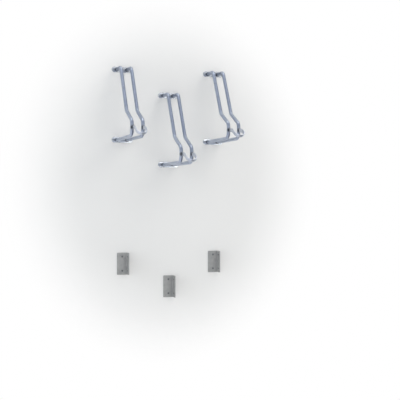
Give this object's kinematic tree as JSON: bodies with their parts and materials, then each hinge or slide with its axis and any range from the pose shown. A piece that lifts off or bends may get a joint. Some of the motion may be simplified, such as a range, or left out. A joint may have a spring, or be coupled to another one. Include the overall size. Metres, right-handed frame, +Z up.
{
  "type": "two tier bike rack",
  "caption": "Wall racks in two staggered tiers, each with bent round bars, a tyre hoop, bolted wall plates and an angle below for the hanging rear wheel.",
  "frame": {"origin": "centre of the back face of the middle rack's top wall plate, on the wall plane", "axes": "+Y into the wall, -Y out into the room, +Z up, +X to the right of a person who faces the wall"},
  "size_m": [0.856, 0.5688, 1.682],
  "materials": {
    "zinc_steel": "dull blue grey zinc coat, brushed along the bars",
    "plate_steel": "light satin zinc coat",
    "angle_steel": "dull grey zinc coat, mottled",
    "bolt_steel": "bright zinc plated fastener"
  },
  "bodies": {
    "root": {"left_rack_left_bar": "zinc_steel", "left_rack_right_bar": "zinc_steel", "left_rack_top_wall_plate": "plate_steel", "left_rack_top_left_washer": "bolt_steel", "left_rack_top_left_bolt": "bolt_steel", "left_rack_top_right_washer": "bolt_steel", "left_rack_top_right_bolt": "bolt_steel", "left_rack_bottom_wall_plate": "plate_steel", "left_rack_bottom_left_washer": "bolt_steel", "left_rack_bottom_left_bolt": "bolt_steel", "left_rack_bottom_right_washer": "bolt_steel", "left_rack_bottom_right_bolt": "bolt_steel", "left_rack_tyre_hoop": "zinc_steel", "left_rack_wheel_angle": "angle_steel", "left_rack_wheel_angle_upper_screw": "bolt_steel", "left_rack_wheel_angle_lower_screw": "bolt_steel", "middle_rack_left_bar": "zinc_steel", "middle_rack_right_bar": "zinc_steel", "middle_rack_top_wall_plate": "plate_steel", "middle_rack_top_left_washer": "bolt_steel", "middle_rack_top_left_bolt": "bolt_steel", "middle_rack_top_right_washer": "bolt_steel", "middle_rack_top_right_bolt": "bolt_steel", "middle_rack_bottom_wall_plate": "plate_steel", "middle_rack_bottom_left_washer": "bolt_steel", "middle_rack_bottom_left_bolt": "bolt_steel", "middle_rack_bottom_right_washer": "bolt_steel", "middle_rack_bottom_right_bolt": "bolt_steel", "middle_rack_tyre_hoop": "zinc_steel", "middle_rack_wheel_angle": "angle_steel", "middle_rack_wheel_angle_upper_screw": "bolt_steel", "middle_rack_wheel_angle_lower_screw": "bolt_steel", "right_rack_left_bar": "zinc_steel", "right_rack_right_bar": "zinc_steel", "right_rack_top_wall_plate": "plate_steel", "right_rack_top_left_washer": "bolt_steel", "right_rack_top_left_bolt": "bolt_steel", "right_rack_top_right_washer": "bolt_steel", "right_rack_top_right_bolt": "bolt_steel", "right_rack_bottom_wall_plate": "plate_steel", "right_rack_bottom_left_washer": "bolt_steel", "right_rack_bottom_left_bolt": "bolt_steel", "right_rack_bottom_right_washer": "bolt_steel", "right_rack_bottom_right_bolt": "bolt_steel", "right_rack_tyre_hoop": "zinc_steel", "right_rack_wheel_angle": "angle_steel", "right_rack_wheel_angle_upper_screw": "bolt_steel", "right_rack_wheel_angle_lower_screw": "bolt_steel"}
  },
  "joints": []
}
